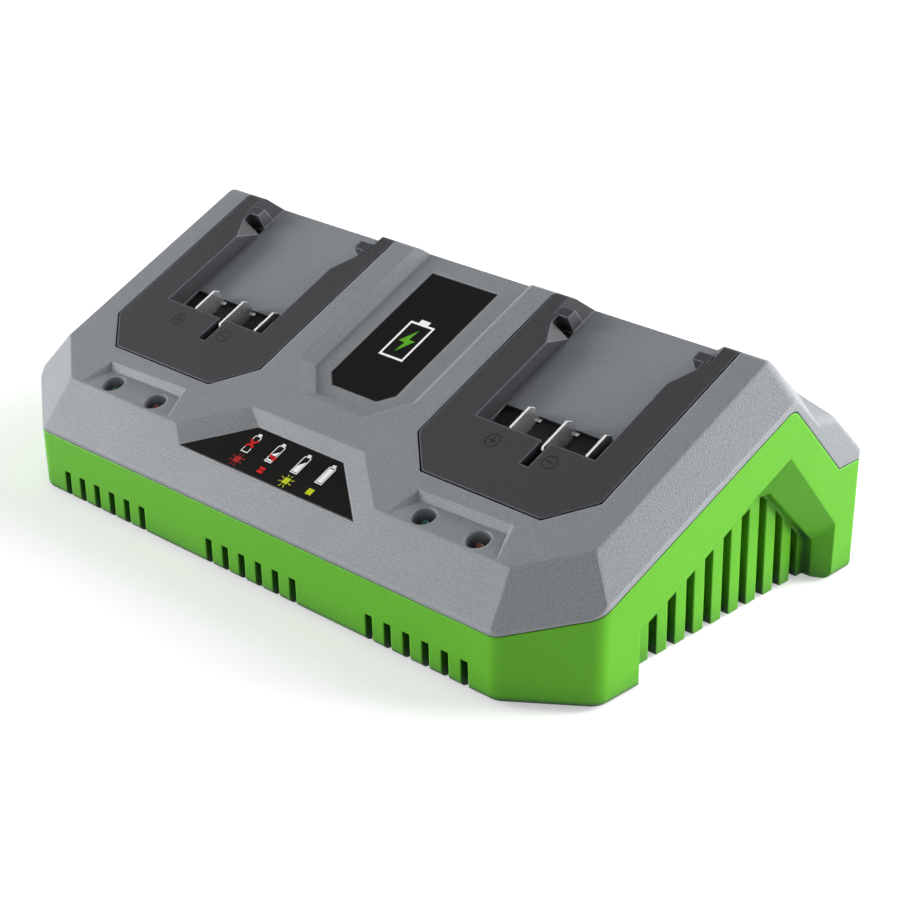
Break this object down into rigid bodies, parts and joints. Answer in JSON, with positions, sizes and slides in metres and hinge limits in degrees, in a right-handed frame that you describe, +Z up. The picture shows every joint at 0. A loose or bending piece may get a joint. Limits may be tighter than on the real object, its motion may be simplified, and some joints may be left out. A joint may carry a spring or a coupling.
{
  "type": "power tool battery charger",
  "caption": "Two-bay charger for slide-on tool batteries: green vented base, sloping grey deck, charcoal bay frames with contact blades.",
  "frame": {"origin": "on the table under the middle of the housing", "axes": "X along the two bays, +Y from the low legend front to the back, +Z up"},
  "size_m": [0.2488, 0.1339, 0.0762],
  "materials": {
    "green_plastic": "fine moulded grain",
    "grey_plastic": "fine moulded grain",
    "charcoal_plastic": "fine moulded grain",
    "black_plastic": "plain black moulding",
    "label_black": "plain printed film",
    "winding_tape": "polyester tape",
    "capacitor_sleeve": "shrunk sleeve",
    "connector_white": "plain moulding",
    "green_lens": "tinted clear epoxy",
    "red_lens": "tinted clear epoxy",
    "rubber": "matt rubber",
    "screw_steel": "zinc plated",
    "blade_metal": "tinned, lightly brushed",
    "aluminium": "plain extrusion",
    "circuit_board": "green solder mask",
    "ferrite": "sintered ferrite"
  },
  "bodies": {
    "root": {"base_housing": "green_plastic", "top_housing": "grey_plastic", "bay_insert_left": "charcoal_plastic", "bay_insert_right": "charcoal_plastic", "terminal_block_left": "black_plastic", "terminal_block_right": "black_plastic", "centre_label": "label_black", "green_leds": "green_lens", "red_leds": "red_lens", "rubber_feet": "rubber", "case_screws": "screw_steel", "board_screws": "screw_steel", "led_board_left": "circuit_board", "led_board_right": "circuit_board", "main_circuit_board": "circuit_board", "transformer_core": "ferrite", "transformer_winding": "winding_tape", "mains_capacitors": "capacitor_sleeve", "output_capacitors": "capacitor_sleeve", "line_filter_choke": "ferrite", "fuse": "black_plastic", "bridge_rectifier": "black_plastic", "switching_transistors": "black_plastic", "heat_sinks": "aluminium", "legend_label": "label_black", "contact_wires_left": "blade_metal", "contact_wires_right": "blade_metal", "control_chip": "black_plastic", "output_connectors": "connector_white", "cord_gland": "rubber", "positive_blade_left": "blade_metal", "positive_blade_right": "blade_metal", "sense_blade_left": "blade_metal", "sense_blade_right": "blade_metal", "negative_blade_left": "blade_metal", "negative_blade_right": "blade_metal"}
  },
  "joints": []
}
